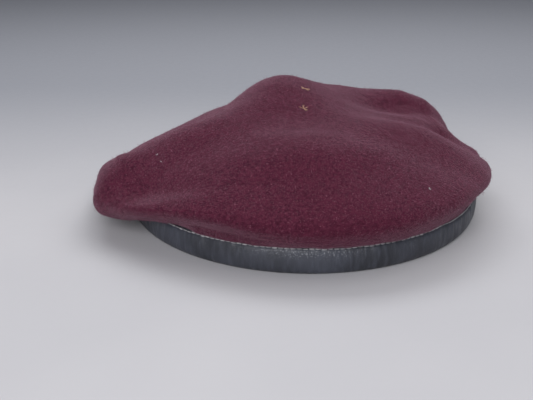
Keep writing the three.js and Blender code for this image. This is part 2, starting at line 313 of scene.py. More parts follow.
def settle(name, grid, pins, growth, weight, stiffness, most):
    """Lets a grid of cloth buckle and sag a little, and gives how far each of its points moved.

    pins holds each point to its place, from 0 to 1. growth is the share that the cloth is too large
    for its place, which is what makes it wrinkle. No point moves further than most.
    """
    columns, rows = grid.shape[:2]
    mesh = bpy.data.meshes.new(name)
    mesh.from_pydata(grid.reshape(-1, 3).tolist(), [], grid_faces(columns, rows, False).tolist())
    cloth_object = bpy.data.objects.new(name, mesh)
    bpy.context.collection.objects.link(cloth_object)
    group = cloth_object.vertex_groups.new(name="pins")
    for index, strength in enumerate(pins.ravel().tolist()):
        group.add([index], strength, "REPLACE")
    modifier = cloth_object.modifiers.new("settle", "CLOTH")
    settings = modifier.settings
    settings.quality = 6
    settings.mass = 0.25
    settings.tension_stiffness = stiffness
    settings.compression_stiffness = stiffness
    settings.shear_stiffness = stiffness / 2
    settings.bending_stiffness = stiffness / 40
    settings.vertex_group_mass = "pins"
    settings.pin_stiffness = 1.0
    settings.shrink_min = -growth
    settings.effector_weights.gravity = weight
    modifier.point_cache.frame_start = 1
    modifier.point_cache.frame_end = SETTLE_FRAMES
    scene = bpy.context.scene
    for number in range(1, SETTLE_FRAMES + 1):
        scene.frame_set(number)
    settled = cloth_object.evaluated_get(bpy.context.evaluated_depsgraph_get()).data
    places = np.empty(columns * rows * 3)
    settled.vertices.foreach_get("co", places)
    scene.frame_set(1)
    bpy.data.objects.remove(cloth_object)
    bpy.data.meshes.remove(mesh)
    moved = places.reshape(grid.shape) - grid
    length = np.linalg.norm(moved, axis=-1, keepdims=True)
    return moved * np.minimum(1, most / np.maximum(length, 1e-9))


# ------------------------------------------------------------------------------------------------
# Meshes. Every piece is made of swept grids: stations along it, each with a closed section.

def grid_faces(stations, across, wrapped_across, wrapped_along=True):
    """The faces of a grid, as corner numbers, for points listed station by station."""
    station = np.arange(stations if wrapped_along else stations - 1)[:, None]
    point = np.arange(across if wrapped_across else across - 1)[None, :]
    next_station = (station + 1) % stations
    next_point = (point + 1) % across
    corners = [
        station * across + point,
        next_station * across + point,
        next_station * across + next_point,
        station * across + next_point,
    ]
    return np.stack(corners, axis=-1).reshape(-1, 4)


def make_piece(name, grids, material, replaces=(), ring=True):
    """A smooth closed mesh from one or more swept grids, riding on the beret."""
    vertices, faces = [], []
    for grid in grids:
        start = sum(len(part) for part in vertices)
        vertices.append(grid.reshape(-1, 3))
        faces.extend((grid_faces(grid.shape[0], grid.shape[1], True, ring) + start).tolist())
        if not ring:
            first = list(range(start, start + grid.shape[1]))
            faces.append(first)
            last = start + (grid.shape[0] - 1) * grid.shape[1]
            faces.append(list(range(last + grid.shape[1] - 1, last - 1, -1)))
    mesh = bpy.data.meshes.new(name)
    mesh.from_pydata(np.concatenate(vertices).tolist(), [], faces)
    shape = bmesh.new()
    shape.from_mesh(mesh)
    bmesh.ops.remove_doubles(shape, verts=shape.verts, dist=0.001 * MM)
    bmesh.ops.recalc_face_normals(shape, faces=shape.faces)
    shape.to_mesh(mesh)
    shape.free()
    mesh.shade_smooth()
    mesh.materials.append(material)
    piece = bpy.data.objects.new(name, mesh)
    bpy.context.collection.objects.link(piece)
    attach(piece, "root")
    if replaces:
        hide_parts(*replaces)
    return piece


def double_faced(face, back):
    """One swept grid from a sheet's face and its back, both as columns of rows."""
    return np.concatenate([face, back[:, ::-1]], axis=1)


TUBE_SIDES = 6
ODD_DIRECTION = (0.31, 0.17, 0.93)     # hardly any thread or hair runs along it


def tube(path, radii):
    """A swept grid round a path of points, with a radius at each of them."""
    forward = unit(np.gradient(path, axis=0))
    aside = unit(np.cross(forward, ODD_DIRECTION))
    above = np.cross(aside, forward)
    turn = around(TUBE_SIDES)[None, :, None]
    return path[:, None] + radii[:, None, None] * (
        aside[:, None] * np.cos(turn) + above[:, None] * np.sin(turn)
    )


# ------------------------------------------------------------------------------------------------
# Materials. All patterns are procedural and lie in the beret's own frame, with sizes in metres.

def srgb(red, green, blue):
    """A colour given as it looks on a screen, from 0 to 255, as linear light."""
    def linear(level):
        level /= 255
        return level / 12.92 if level <= 0.04045 else ((level + 0.055) / 1.055) ** 2.4
    return (linear(red), linear(green), linear(blue), 1.0)


class Surface:
    """A node material with one Principled shader and small helpers for its patterns."""

    def __init__(self, name, **sockets):
        self.material = bpy.data.materials.new(name)
        self.material.use_nodes = True
        self.tree = self.material.node_tree
        self.shader = self.tree.nodes["Principled BSDF"]
        self.place = self.add("ShaderNodeTexCoord").outputs["Object"]
        for socket, value in sockets.items():
            self.shader.inputs[socket.replace("_", " ")].default_value = value

    def add(self, kind, **settings):
        node = self.tree.nodes.new(kind)
        for setting, value in settings.items():
            setattr(node, setting, value)
        return node

    def feed(self, socket, value):
        if isinstance(value, bpy.types.NodeSocket):
            self.tree.links.new(value, socket)
        else:
            socket.default_value = value

    def stretched(self, scale):
        node = self.add("ShaderNodeMapping")
        self.feed(node.inputs["Vector"], self.place)
        node.inputs["Scale"].default_value = scale
        return node.outputs["Vector"]

    def noise(self, size, detail=2.0, roughness=0.55, distortion=0.0, place=None):
        node = self.add("ShaderNodeTexNoise")
        self.feed(node.inputs["Vector"], place or self.place)
        node.inputs["Scale"].default_value = 1 / size
        node.inputs["Detail"].default_value = detail
        node.inputs["Roughness"].default_value = roughness
        node.inputs["Distortion"].default_value = distortion
        return node.outputs[0]

    def cells(self, size):
        node = self.add("ShaderNodeTexVoronoi", feature="DISTANCE_TO_EDGE")
        self.feed(node.inputs["Vector"], self.place)
        node.inputs["Scale"].default_value = 1 / size
        return node.outputs["Distance"]

    def waves(self, size, direction, distortion):
        node = self.add("ShaderNodeTexWave", bands_direction=direction)
        self.feed(node.inputs["Vector"], self.place)
        node.inputs["Scale"].default_value = 1 / size
        node.inputs["Distortion"].default_value = distortion
        return node.outputs["Fac"]

    def levels(self, value, low, high, to_low=0.0, to_high=1.0):
        node = self.add("ShaderNodeMapRange", interpolation_type="SMOOTHSTEP")
        self.feed(node.inputs["Value"], value)
        node.inputs["From Min"].default_value = low
        node.inputs["From Max"].default_value = high
        node.inputs["To Min"].default_value = to_low
        node.inputs["To Max"].default_value = to_high
        return node.outputs["Result"]

    def math(self, operation, first, second):
        node = self.add("ShaderNodeMath", operation=operation)
        self.feed(node.inputs[0], first)
        self.feed(node.inputs[1], second)
        return node.outputs[0]

    def along(self, axis):
        """How far each point lies along an axis: Z is its height, and Y how far back it is."""
        node = self.add("ShaderNodeSeparateXYZ")
        self.feed(node.inputs[0], self.place)
        return node.outputs[axis]

    def distance_to(self, point):
        node = self.add("ShaderNodeVectorMath", operation="DISTANCE")
        self.feed(node.inputs[0], self.place)
        node.inputs[1].default_value = point
        return node.outputs["Value"]

    def mix(self, share, first, second):
        node = self.add("ShaderNodeMix", data_type="RGBA")
        self.feed(node.inputs[0], share)
        self.feed(node.inputs[6], first)
        self.feed(node.inputs[7], second)
        return node.outputs[2]

    def colour(self, value):
        self.feed(self.shader.inputs["Base Color"], value)

    def roughness(self, value):
        self.feed(self.shader.inputs["Roughness"], value)

    def relief(self, *layers):
        """Bump from (height, depth in metres) layers, the coarsest first."""
        normal = None
        for height, depth in layers:
            node = self.add("ShaderNodeBump")
            node.inputs["Distance"].default_value = depth
            self.feed(node.inputs["Height"], height)
            if normal is not None:
                self.feed(node.inputs["Normal"], normal)
            normal = node.outputs["Normal"]
        self.feed(self.shader.inputs["Normal"], normal)


def felt_material():
    felt = Surface(
        "felted_wool",
        Specular_IOR_Level=0.12,
        Sheen_Weight=0.55,
        Sheen_Roughness=0.16,
        Sheen_Tint=srgb(234, 190, 210),
    )
    broad = felt.noise(38 * MM, detail=3)
    mottle = felt.noise(1.5 * MM, detail=4, roughness=0.72)
    fibres = felt.noise(0.85 * MM, detail=3, roughness=0.65, distortion=2.5)
    knit = felt.noise(2.6 * MM, detail=2, place=felt.stretched((1.0, 0.32, 1.6)))
    wool = felt.mix(felt.levels(mottle, 0.36, 0.64), srgb(64, 20, 38), srgb(91, 37, 57))
    wool = felt.mix(felt.levels(fibres, 0.54, 0.68, 0, 0.52), wool, srgb(150, 84, 108))
    wool = felt.mix(felt.levels(knit, 0.45, 0.70, 0, 0.32), wool, srgb(48, 10, 26))
    wool = felt.mix(felt.levels(broad, 0.35, 0.70, 0, 0.30), wool, srgb(84, 32, 51))
    felt.colour(wool)
    felt.roughness(felt.levels(mottle, 0.2, 0.8, 0.86, 0.97))
    felt.relief((mottle, 0.5 * MM), (fibres, 0.35 * MM))
    return felt.material


# The dusty, rubbed place at the front of the binding, and how far from it the dust is full and gone.
SCUFF_PLACE = (8 * MM, -102 * MM, 9 * MM)
SCUFF_FULL, SCUFF_GONE = 6 * MM, 32 * MM


def leather_material():
    leather = Surface("gathered_leather", Specular_IOR_Level=0.5, Coat_Weight=0.08, Coat_Roughness=0.35)
    grain = leather.cells(0.85 * MM)
    fine = leather.noise(0.35 * MM, detail=3)
    folds = leather.noise(2.4 * MM, detail=2, place=leather.stretched((1, 1, 0.22)))
    broad = leather.noise(26 * MM, detail=2)
    base = leather.mix(leather.levels(broad, 0.3, 0.7), srgb(42, 44, 51), srgb(62, 65, 75))
    # Painted highlight: the leather is coloured lighter where the fold relief stands highest, along the
    # ridges of its gathers.
    base = leather.mix(leather.levels(folds, 0.45, 0.75, 0, 0.30), base, srgb(86, 90, 102))
    near_seam = leather.levels(leather.along("Z"), 7 * MM, 12.4 * MM)
    specks = leather.levels(leather.noise(0.7 * MM, detail=2, roughness=0.7), 0.54, 0.66)
    patches = leather.levels(leather.noise(14 * MM, detail=2), 0.50, 0.66, 0, 0.5)
    scuffed = leather.levels(leather.distance_to(SCUFF_PLACE), SCUFF_GONE, SCUFF_FULL)
    spread = leather.math("MAXIMUM", patches, scuffed)
    dust = leather.math("MULTIPLY", leather.math("MULTIPLY", near_seam, specks), spread)
    base = leather.mix(leather.math("MULTIPLY", dust, 0.55), base, srgb(176, 178, 184))
    leather.colour(base)
    leather.roughness(leather.levels(folds, 0.3, 0.8, 0.58, 0.40))
    leather.relief((folds, 0.5 * MM), (grain, 0.12 * MM), (fine, 0.06 * MM))
    return leather.material


def nap_material():
    nap = Surface("wool_hair", Roughness=0.9, Specular_IOR_Level=0.1, Sheen_Weight=0.2, Sheen_Roughness=0.5)
    dye = nap.noise(2.0 * MM, detail=3, roughness=0.7)
    nap.colour(nap.mix(nap.levels(dye, 0.35, 0.65), srgb(108, 50, 74), srgb(166, 102, 128)))
    return nap.material


def thread_material(name, dark, light, sheen):
    thread = Surface(name, Specular_IOR_Level=0.3, Sheen_Weight=sheen, Sheen_Roughness=0.5)
    twist = thread.waves(0.5 * MM, "DIAGONAL", distortion=1.5)
    uneven = thread.noise(1.8 * MM, detail=3)
    tone = thread.mix(thread.levels(uneven, 0.3, 0.7), dark, light)
    thread.colour(thread.mix(thread.math("MULTIPLY", twist, 0.35), tone, dark))
    thread.roughness(thread.levels(uneven, 0.2, 0.8, 0.6, 0.85))
    thread.relief((twist, 0.1 * MM), (uneven, 0.05 * MM))
    return thread.material


def satin_material():
    satin = Surface(
        "lining_satin", Specular_IOR_Level=0.5, Anisotropic=0.5, Sheen_Weight=0.15, Sheen_Roughness=0.3,
    )
    warp = satin.waves(0.28 * MM, "X", distortion=0.6)
    weft = satin.waves(0.28 * MM, "Y", distortion=0.6)
    slubs = satin.noise(1.6 * MM, detail=3, place=satin.stretched((1, 0.12, 1)))
    cloth = satin.mix(satin.levels(slubs, 0.35, 0.75), srgb(22, 22, 26), srgb(40, 40, 46))
    satin.colour(satin.mix(satin.math("MULTIPLY", warp, 0.2), cloth, srgb(58, 58, 66)))
    satin.roughness(satin.levels(slubs, 0.2, 0.8, 0.34, 0.5))
    satin.relief((slubs, 0.08 * MM), (warp, 0.03 * MM), (weft, 0.03 * MM))
    return satin.material


def tape_material():
    tape = Surface("cotton_tape", Specular_IOR_Level=0.2, Sheen_Weight=0.2, Sheen_Roughness=0.5)
    ribs = tape.waves(0.6 * MM, "Z", distortion=0.8)
    yarn = tape.noise(0.8 * MM, detail=3)
    cloth = tape.mix(tape.levels(yarn, 0.3, 0.7), srgb(20, 20, 23), srgb(44, 44, 48))
    tape.colour(tape.mix(tape.math("MULTIPLY", ribs, 0.3), cloth, srgb(60, 60, 64)))
    tape.roughness(tape.levels(yarn, 0.2, 0.8, 0.8, 0.95))
    tape.relief((ribs, 0.15 * MM), (yarn, 0.08 * MM))
    return tape.material


def board_material():
    board = Surface("stiffener_board", Specular_IOR_Level=0.3)
    pulp = board.noise(3 * MM, detail=5, roughness=0.7)
    fibres = board.noise(1.2 * MM, detail=3, distortion=1.5, place=board.stretched((1, 1, 0.3)))
    card = board.mix(board.levels(pulp, 0.3, 0.7), srgb(98, 80, 60), srgb(128, 106, 80))
    board.colour(board.mix(board.levels(fibres, 0.5, 0.75, 0, 0.5), card, srgb(150, 130, 102)))
    board.roughness(board.levels(pulp, 0.2, 0.8, 0.75, 0.9))
    board.relief((pulp, 0.12 * MM), (fibres, 0.06 * MM))
    return board.material


def label_material():
    label = Surface("woven_label", Specular_IOR_Level=0.35, Sheen_Weight=0.15, Sheen_Roughness=0.4)
    weft = label.waves(0.5 * MM, "Y", distortion=0.4)
    warp = label.waves(0.35 * MM, "X", distortion=0.4)
    yarn = label.noise(1.5 * MM, detail=3)
    cloth = label.mix(label.levels(yarn, 0.3, 0.7), srgb(172, 168, 158), srgb(206, 202, 192))
    label.colour(label.mix(label.math("MULTIPLY", weft, 0.3), cloth, srgb(140, 136, 128)))
    label.roughness(label.levels(yarn, 0.2, 0.8, 0.6, 0.8))
    label.relief((weft, 0.12 * MM), (warp, 0.06 * MM))
    return label.material


# ------------------------------------------------------------------------------------------------
# The felt crown.

CAGE_COLUMNS = 120
CAGE_ROWS = row_places(2, 4)
LEAST_HOLD = 0.12           # how firmly the felt's free part is still held while it settles
INNER_STEPS = 2             # fine rows on the felt's inner face for each packed row
HELD_TOP = 12.2 * MM        # the top of the stretch that the binding holds, on the felt's outer face


def felt_movement():
    """How far the felt settles, on the fine grid."""
    cage = felt_at(CAGE_COLUMNS, CAGE_ROWS)
    held = 1 - blend_in(CAGE_ROWS, 0.5, 4) * (1 - LEAST_HOLD)
    pins = np.broadcast_to(held, cage.shape[:2])
    moved = settle("felt_cage", cage, pins, growth=0.02, weight=0.4, stiffness=25, most=2.2 * MM)
    moved[:, -1] = moved[:, -1].mean(axis=0)
    columns = np.arange(FELT_COLUMNS) * CAGE_COLUMNS / FELT_COLUMNS
    rows = np.interp(felt_rows, CAGE_ROWS, np.arange(len(CAGE_ROWS)))
    return smooth_through(smooth_through(moved, columns, 0, wrapped=True), rows, 1)


def felt_face():
    """The felt's outer face with its folds, creases, seam puckers and the unevenness of wool."""
    face = felt_at(FELT_COLUMNS, felt_rows) + felt_movement()
    face = creased(face)
    direction = around(FELT_COLUMNS)[:, None]
    free = blend_in(felt_rows, 0.2, ROW["hem"])[None, :]
    near_seam = blend_in(felt_rows, 0, 0.6) * (1 - blend_in(felt_rows, 1.5, 5))
    pucker = rough(place_around(direction, mean_outline, 0.0), 7 * MM, 2, 3.1) * near_seam[None, :]
    slow = rough(face, 30 * MM, 2, 11.0) * free
    fine = rough(face, 3.2 * MM, 3, 5.0) * free
    lift = pucker * 0.5 * MM + slow * 0.55 * MM + fine * 0.09 * MM + fuller()
    lift[:, -1] = lift[:, -1].mean()
    return face + outwards(face) * lift[..., None]


def felt_crown(face, material):
    """The felt's uneven outer face and its plain inner one, joined round the lower edge."""
    directions = around(FELT_COLUMNS)

    def held(inset, *heights):
        """Rows of the stretch that the binding holds, from its lower edge up."""
        radius = outline_radius(directions, inset)
        return np.stack([place_around(directions, radius, height) for height in heights], axis=1)

    face = np.concatenate([held(FELT_INSET, felt_edge_height, HELD_TOP), face], axis=1)
    inner_rows = np.linspace(1, ROW["middle"], (ROW["middle"] - 1) * INNER_STEPS + 1)
    base = felt_at(FELT_COLUMNS, inner_rows)
    back = base - outwards(base) * FELT_THICK
    back = np.concatenate([held(FELT_INSET + FELT_THICK, felt_edge_height, seam_height), back], axis=1)
    return make_piece("felt_crown", [double_faced(face, back)], material, ["wool_shell"])


# ------------------------------------------------------------------------------------------------
# The leather binding and its stitching.

BINDING_COLUMNS = 720
SECTION_STEPS = 3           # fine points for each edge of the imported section
ROLL = {"inset": 1.3 * MM, "height": 3.4 * MM}     # how the outer face rolls under at the bottom
OUTER_FACE = (0.9 * MM, 1.3 * MM)      # the insets between which the outer face ends
INNER_FACE = (5.6 * MM, 6.4 * MM)      # and between which the inner face begins
OFF_FLOOR = (0.2 * MM, 3 * MM)         # the heights between which the leather leaves the floor
TOWARD_SEAM = (2 * MM, 12 * MM)        # and between which the seam's gathers come in


def leather_binding(material):
    """The folded leather, with its gathers and pulls and its rolled lower edge."""
    section = ring_section("leather_binding")
    places = np.arange(0, len(section), 1 / SECTION_STEPS)
    section = smooth_through(section, places, 0, wrapped=True)
    inset, height = section[:, 0], np.clip(section[:, 1], 0, None)
    rolled = (inset < ROLL["inset"]) * np.clip(1 - height / ROLL["height"], 0, 1) ** 2
    inset = inset + rolled * ROLL["inset"]
    direction = around(BINDING_COLUMNS)[:, None]
    ring = place_around(direction, mean_outline, 0.0)
    outer = (1 - blend_in(inset, *OUTER_FACE))[None, :]
    inner = blend_in(inset, *INNER_FACE)[None, :]
    off_floor = blend_in(height, *OFF_FLOOR)[None, :]
    toward_seam = blend_in(height, *TOWARD_SEAM)[None, :]
    gathers = rough(ring, 3.0 * MM, 3, 2.0)
    pulls = rough(ring, 1.6 * MM, 2, 7.0)
    slow = rough(ring, 34 * MM, 2, 9.0)
    skew = place_around(direction, mean_outline, height[None, :] * 0.35)
    leaning = rough(skew, 4.2 * MM, 2, 4.0)
    out = (gathers * 0.30 + leaning * 0.25) * MM * (0.45 + 0.55 * toward_seam)
    out = out + pulls * 0.22 * MM * toward_seam ** 2 + slow * 0.35 * MM
    radius = outline_radius(direction, inset[None, :]) + out * off_floor * (outer + 0.7 * inner)
    wave = seam_wave(direction[:, 0])[:, None] * toward_seam * outer + gathers * 0.1 * MM * toward_seam
    grid = place_around(direction, radius, np.clip(height[None, :] + wave, 0, None))
    return make_piece(
        "gathered_binding", [grid], material, ["leather_binding"],
    )


STITCH_STEPS = 7            # points along each stitch


def stitches(path, share, radius, arch, wander):
    """Tapered, slightly uneven stitches between the points of a closed path.

    Each covers a share of its step, bows outwards by the arch and wanders up or down a little.
    """
    grids = []
    following = np.roll(path, -1, axis=0)
    middle = path.mean(axis=0)
    for start, end in zip(path, following):
        places = np.linspace(0, share, STITCH_STEPS)
        rise = np.sin(np.pi * places / share)
        away = unit((start - middle) * (1, 1, 0))
        line = start + (end - start) * places[:, None]
        line = line + away * (arch * rise)[:, None]
        line[:, 2] += random_source.normal(0, wander)
        thickness = radius * random_source.uniform(0.75, 1.25)
        radii = thickness * np.sqrt(np.clip(1 - (2 * places / share - 1) ** 4, 0, 1))
        grids.append(tube(line, np.maximum(radii, 0.0001 * MM)))
    return grids


# ------------------------------------------------------------------------------------------------
# Loose fibres. The nap is the felt's own short hair, and the lint lies on top of it.

NAP_FIBRES = 18000
NAP_RADII = np.array([0.065, 0.05, 0.0001]) * MM      # at a hair's foot, middle and tip
NAP_LENGTH = {"shape": 4.0, "scale": 0.21}      # a gamma spread of lengths, in millimetres
NAP_OUTWARDS = 0.9          # how much more a hair leans outwards than any other way
NAP_BEND = 0.35             # how far a tip bends aside, as a share of the hair's length
NAP_ROOT = 0.15 * MM        # how deep a hair's foot sits in the felt
NAP_SIDES = 3
NAP_LOWEST_ROW = 8          # hairs start above this fine row, clear of the leather's edge


def on_surface(grid, count, lowest):
    """Random places on a grid's surface, evenly spread over its area, with their outward directions."""
    away = outwards(grid)
    rows = np.arange(grid.shape[1])
    area = np.linalg.norm(np.cross(np.roll(grid, -1, axis=0) - grid, np.gradient(grid, axis=1)), axis=-1)
    area = area * (rows > lowest)
    chosen = random_source.choice(area.size, count, p=(area / area.sum()).ravel())
    column, row = np.unravel_index(chosen, area.shape)
    return grid[column, row], away[column, row]


def felt_nap(face, material):
    """Short bent hairs that stand out of the felt, each a thin spike."""
    foot, away = on_surface(face, NAP_FIBRES, NAP_LOWEST_ROW)
    lean = unit(random_source.normal(size=foot.shape) + NAP_OUTWARDS * away)
    length = random_source.gamma(NAP_LENGTH["shape"], NAP_LENGTH["scale"], (NAP_FIBRES, 1)) * MM
    bend = unit(random_source.normal(size=foot.shape)) * length * NAP_BEND
    middle = foot + lean * length * 0.5
    tip = foot + lean * length + bend
    foot = foot - away * NAP_ROOT
    path = np.stack([foot, middle, tip], axis=1)
    aside = unit(np.cross(lean, ODD_DIRECTION))
    above = np.cross(lean, aside)
    turn = around(NAP_SIDES)[None, None, :, None]
    section = aside[:, None, None] * np.cos(turn) + above[:, None, None] * np.sin(turn)
    grids = path[:, :, None] + section * NAP_RADII[None, :, None, None]
    return make_piece("felt_nap", grids, material, ring=False)


def felt_place(face, x, y):
    """The point of the felt's upper side above x, y, with its outward direction."""
    top = face[:, face.shape[1] // 3:]
    away = outwards(face)[:, face.shape[1] // 3:]
    nearest = np.unravel_index(np.argmin(np.hypot(top[..., 0] - x, top[..., 1] - y)), top.shape[:2])
    return top[nearest], away[nearest]


def lint(face, name, material, places, length, radius):
    """Little bits of fibre lying on the felt, each of one to three curled strands."""
    grids = []
    for x, y, strands in places:
        foot, away = felt_place(face, x * MM, y * MM)
        for _ in range(strands):
            heading = unit(np.cross(away, random_source.normal(size=3)))
            sideways = np.cross(away, heading)
            steps = np.linspace(-1, 1, 9)[:, None]
            curl = random_source.uniform(-0.5, 0.5)
            path = foot + length / 2 * (heading * steps + sideways * curl * steps ** 2)
            path = path + away * (radius + 0.25 * MM + 0.3 * MM * steps ** 2)
            radii = np.where(np.abs(steps[:, 0]) == 1, 0.2, 1.0) * radius
            grids.append(tube(path, radii))
    return make_piece(name, grids, material, ring=False)


# ------------------------------------------------------------------------------------------------
# The lining, the label and what lies hidden between the layers.

LINING_COLUMNS = 240
LINING_HEM = {"inset": 6.4 * MM, "height": 13.8 * MM, "belly": 2.5 * MM}
LINING_ROWS = np.linspace(0, 1, 25)
TIP_ROWS = np.linspace(ROW["shoulder"] - 0.02, ROW["middle"], 43)
SIDE_TOP = {"row": ROW["shoulder"] + 0.10, "depth": LINING_DEPTH - 0.65 * MM}    # behind the tip's edge


def lining_layer(rows, depth):
    base = felt_at(LINING_COLUMNS, rows)
    return base - outwards(base) * depth


def lining_side(material):
    """The lining's side, gathered a little into the binding's inner edge."""
    directions = around(LINING_COLUMNS)
    low = place_around(directions, outline_radius(directions, LINING_HEM["inset"]), LINING_HEM["height"])
    rows = np.array([SIDE_TOP["row"] - 0.2, SIDE_TOP["row"]])
    high = lining_layer(rows, SIDE_TOP["depth"])[:, 1]
    share = LINING_ROWS[None, :, None]
    belly = place_around(directions, LINING_HEM["belly"], 0.0)
    belly[:, :2] -= opening_middle
    strip = low[:, None] * (1 - share) + high[:, None] * share
    strip = strip + belly[:, None] * np.sin(math.pi * share)
    edges = np.minimum(LINING_ROWS, 1 - LINING_ROWS)
    pins = np.broadcast_to(1 - 0.85 * blend_in(edges, 0.0, 0.25), strip.shape[:2])
    strip = strip + settle("side_cage", strip, pins, 0.05, 0.3, 8, 1.6 * MM)
    ring = place_around(directions, mean_outline, 0.0)
    gathers = rough(ring, 5 * MM, 2, 21.0)[:, None] * (1 - LINING_ROWS)[None, :] ** 1.5
    inward = -np.broadcast_to((belly / LINING_HEM["belly"])[:, None], strip.shape)
    strip = strip + inward * (np.clip(gathers, 0, None) * 1.1 * MM)[..., None]
    back = strip + inward * LINING_THICK
    side = make_piece(
        "satin_lining_side", [double_faced(strip, back)], material, ["lining_side"],
    )
    return side, back


def lining_tip(material):
    """The lining's round tip, with the soft creases of slack satin."""
    face = lining_layer(TIP_ROWS, LINING_DEPTH)
    face[:, -1] = face[:, -2].mean(axis=0)
    held = 1 - 0.9 * blend_in(TIP_ROWS, TIP_ROWS[0], TIP_ROWS[0] + 1.2)
    pins = np.broadcast_to(held, face.shape[:2])
    moved = settle("tip_cage", face, pins, 0.04, 0.5, 8, 1.8 * MM)
    moved[:, -1] = moved[:, -2:].mean(axis=(0, 1))
    free = blend_in(TIP_ROWS, TIP_ROWS[0], TIP_ROWS[0] + 0.8)[None, :]
    crease = np.clip(rough(face, 17 * MM, 2, 31.0), 0, None) * free
    crease[:, -1] = crease[:, -1].mean()
    down = -outwards(face)
    sunk = np.clip((moved * down).sum(axis=-1), 0, None) + crease * 1.3 * MM
    face = face + down * sunk[..., None]
    back = face + down * LINING_THICK
    tip = make_piece(
        "satin_lining_tip", [double_faced(face, back)], material, ["lining_tip"],
    )
    return tip, back


LINING_STITCHES = 190       # stitches round each of the lining's two seams
STITCHES_FACE = 40 * MM     # how far below its seam the point is that the stitches stand out towards


def seam_line(grid, row, lift):
    """A path round a lining's under face, at a row of its grid and a little below the cloth."""
    places = np.arange(LINING_STITCHES) * grid.shape[0] / LINING_STITCHES
    line = smooth_through(smooth_through(grid, places, 0, wrapped=True), np.array([row]), 1)[:, 0]
    middle = np.array([*opening_middle, line[:, 2].mean() - STITCHES_FACE])
    return line + unit(middle - line) * lift


def under_lining(tip_back, x, y):
    """The height of the lining's under face over x, y, both arrays, from its nearest grid points."""
    points = tip_back.reshape(-1, 3)
    flat = np.stack([x.ravel(), y.ravel()], axis=-1)
    apart = np.hypot(*(flat[:, None] - points[None, :, :2]).transpose(2, 0, 1))
    nearest = np.argsort(apart, axis=1)[:, :6]
    near = np.take_along_axis(apart, nearest, axis=1) + 0.2 * MM
    weights = 1 / near ** 2
    heights = (points[nearest, 2] * weights).sum(axis=1) / weights.sum(axis=1)
    return heights.reshape(x.shape)


LABEL_LONG_STEPS, LABEL_WIDE_STEPS = 48, 24
LABEL_THICK = 0.4 * MM
LABEL_GAP = 0.5 * MM        # between the label and the lining that it hangs under
LABEL_SEWN_IN = 2 * MM
LABEL_STITCHES = 53
LABEL_STITCH = {"share": 0.75, "radius": 0.2 * MM, "arch": 0.0, "wander": 0.0}


def label_and_stitches(tip_back, material, thread):
    low, high = (np.array(corner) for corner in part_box("size_label"))
    x = np.linspace(low[0], high[0], LABEL_LONG_STEPS + 1)[:, None]
    y = np.linspace(low[1], high[1], LABEL_WIDE_STEPS + 1)[None, :]
    x, y = np.broadcast_arrays(x, y)
    slack = 0.25 * MM * rough(np.stack([x, y, 0 * x], axis=-1), 9 * MM, 2, 41.0)
    top = under_lining(tip_back, x, y) - LABEL_GAP - np.abs(slack)
    face = np.stack([x, y, top], axis=-1)
    back = face - (0, 0, LABEL_THICK)
    label = make_piece(
        "woven_label", [double_faced(face, back)], material, ["size_label"], ring=False,
    )
    long_half, wide_half = (high - low)[:2] / 2 - LABEL_SEWN_IN
    corners = np.array([(1, 1), (-1, 1), (-1, -1), (1, -1), (1, 1)]) * (long_half, wide_half)
    corners = corners + (low + high)[:2] / 2
    walked = np.concatenate([[0], np.cumsum(np.linalg.norm(np.diff(corners, axis=0), axis=1))])
    marks = np.linspace(0, walked[-1], LABEL_STITCHES + 1)[:-1]
    line_x = np.interp(marks, walked, corners[:, 0])
    line_y = np.interp(marks, walked, corners[:, 1])
    line_z = under_lining(tip_back, line_x, line_y) - LABEL_GAP - LABEL_THICK - LABEL_STITCH["radius"]
    path = np.stack([line_x, line_y, line_z], axis=-1)
    make_piece(
        "label_stitches", stitches(path, **LABEL_STITCH), thread,
        ["label_thread"], ring=False,
    )
    return label


TAPE_THICK = 0.6 * MM
TAPE_SECTION = np.array([    # shares of the thickness inwards, and of half the width upwards
    (0, -0.94), (0, 0), (0, 0.94), (0.25, 1), (0.75, 1),
    (1, 0.94), (1, 0), (1, -0.94), (0.75, -1), (0.25, -1),
])


def draw_tape(material):
    """The flat tape inside the binding, a little wavy, with rounded edges."""
    low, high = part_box("draw_tape")
    middle, half = (low.z + high.z) / 2, (high.z - low.z) / 2
    outer = outline_half[0] - (high.x - opening_middle[0])
    directions = around(LINING_COLUMNS)[:, None]
    wave = 0.12 * MM * rough(place_around(directions, mean_outline, 0.0), 12 * MM, 2, 51.0)
    radius = outline_radius(directions, outer + TAPE_SECTION[None, :, 0] * TAPE_THICK) + wave
    grid = place_around(directions, radius, middle + TAPE_SECTION[None, :, 1] * half)
    return make_piece("woven_draw_tape", [grid], material, ["draw_tape"])


# ------------------------------------------------------------------------------------------------
# The pieces.

wool = felt_material()
felt_outside = felt_face()
crown = felt_crown(felt_outside, wool)
nap = felt_nap(felt_outside, nap_material())
binding = leather_binding(leather_material())

pale = thread_material("pale_thread", srgb(150, 148, 152), srgb(214, 212, 214), 0.25)
black = thread_material("dark_thread", srgb(18, 18, 20), srgb(48, 48, 52), 0.15)

BINDING_STITCHES = 230
NEEDLE_LINE = {"inset": 0.05 * MM, "rise": 0.2 * MM}
NEEDLE_STITCH = {"share": 0.96, "radius": 0.3 * MM, "arch": 0.10 * MM, "wander": 0.09 * MM}
BOBBIN_LINE = {"inset": 7.4 * MM, "height": 11.0 * MM}
BOBBIN_STITCH = {"share": 0.82, "radius": 0.28 * MM, "arch": -0.1 * MM, "wander": 0.06 * MM}
stitch_directions = around(BINDING_STITCHES)
needle_path = place_around(
    stitch_directions,
    outline_radius(stitch_directions, NEEDLE_LINE["inset"]),
    OUTER_TOP + NEEDLE_LINE["rise"] + seam_wave(stitch_directions),
)
make_piece(
    "binding_needle_stitches", stitches(needle_path, **NEEDLE_STITCH), pale,
    ["binding_needle_thread"], ring=False,
)
bobbin_radius = outline_radius(stitch_directions, BOBBIN_LINE["inset"])
bobbin_path = place_around(stitch_directions, bobbin_radius, BOBBIN_LINE["height"])
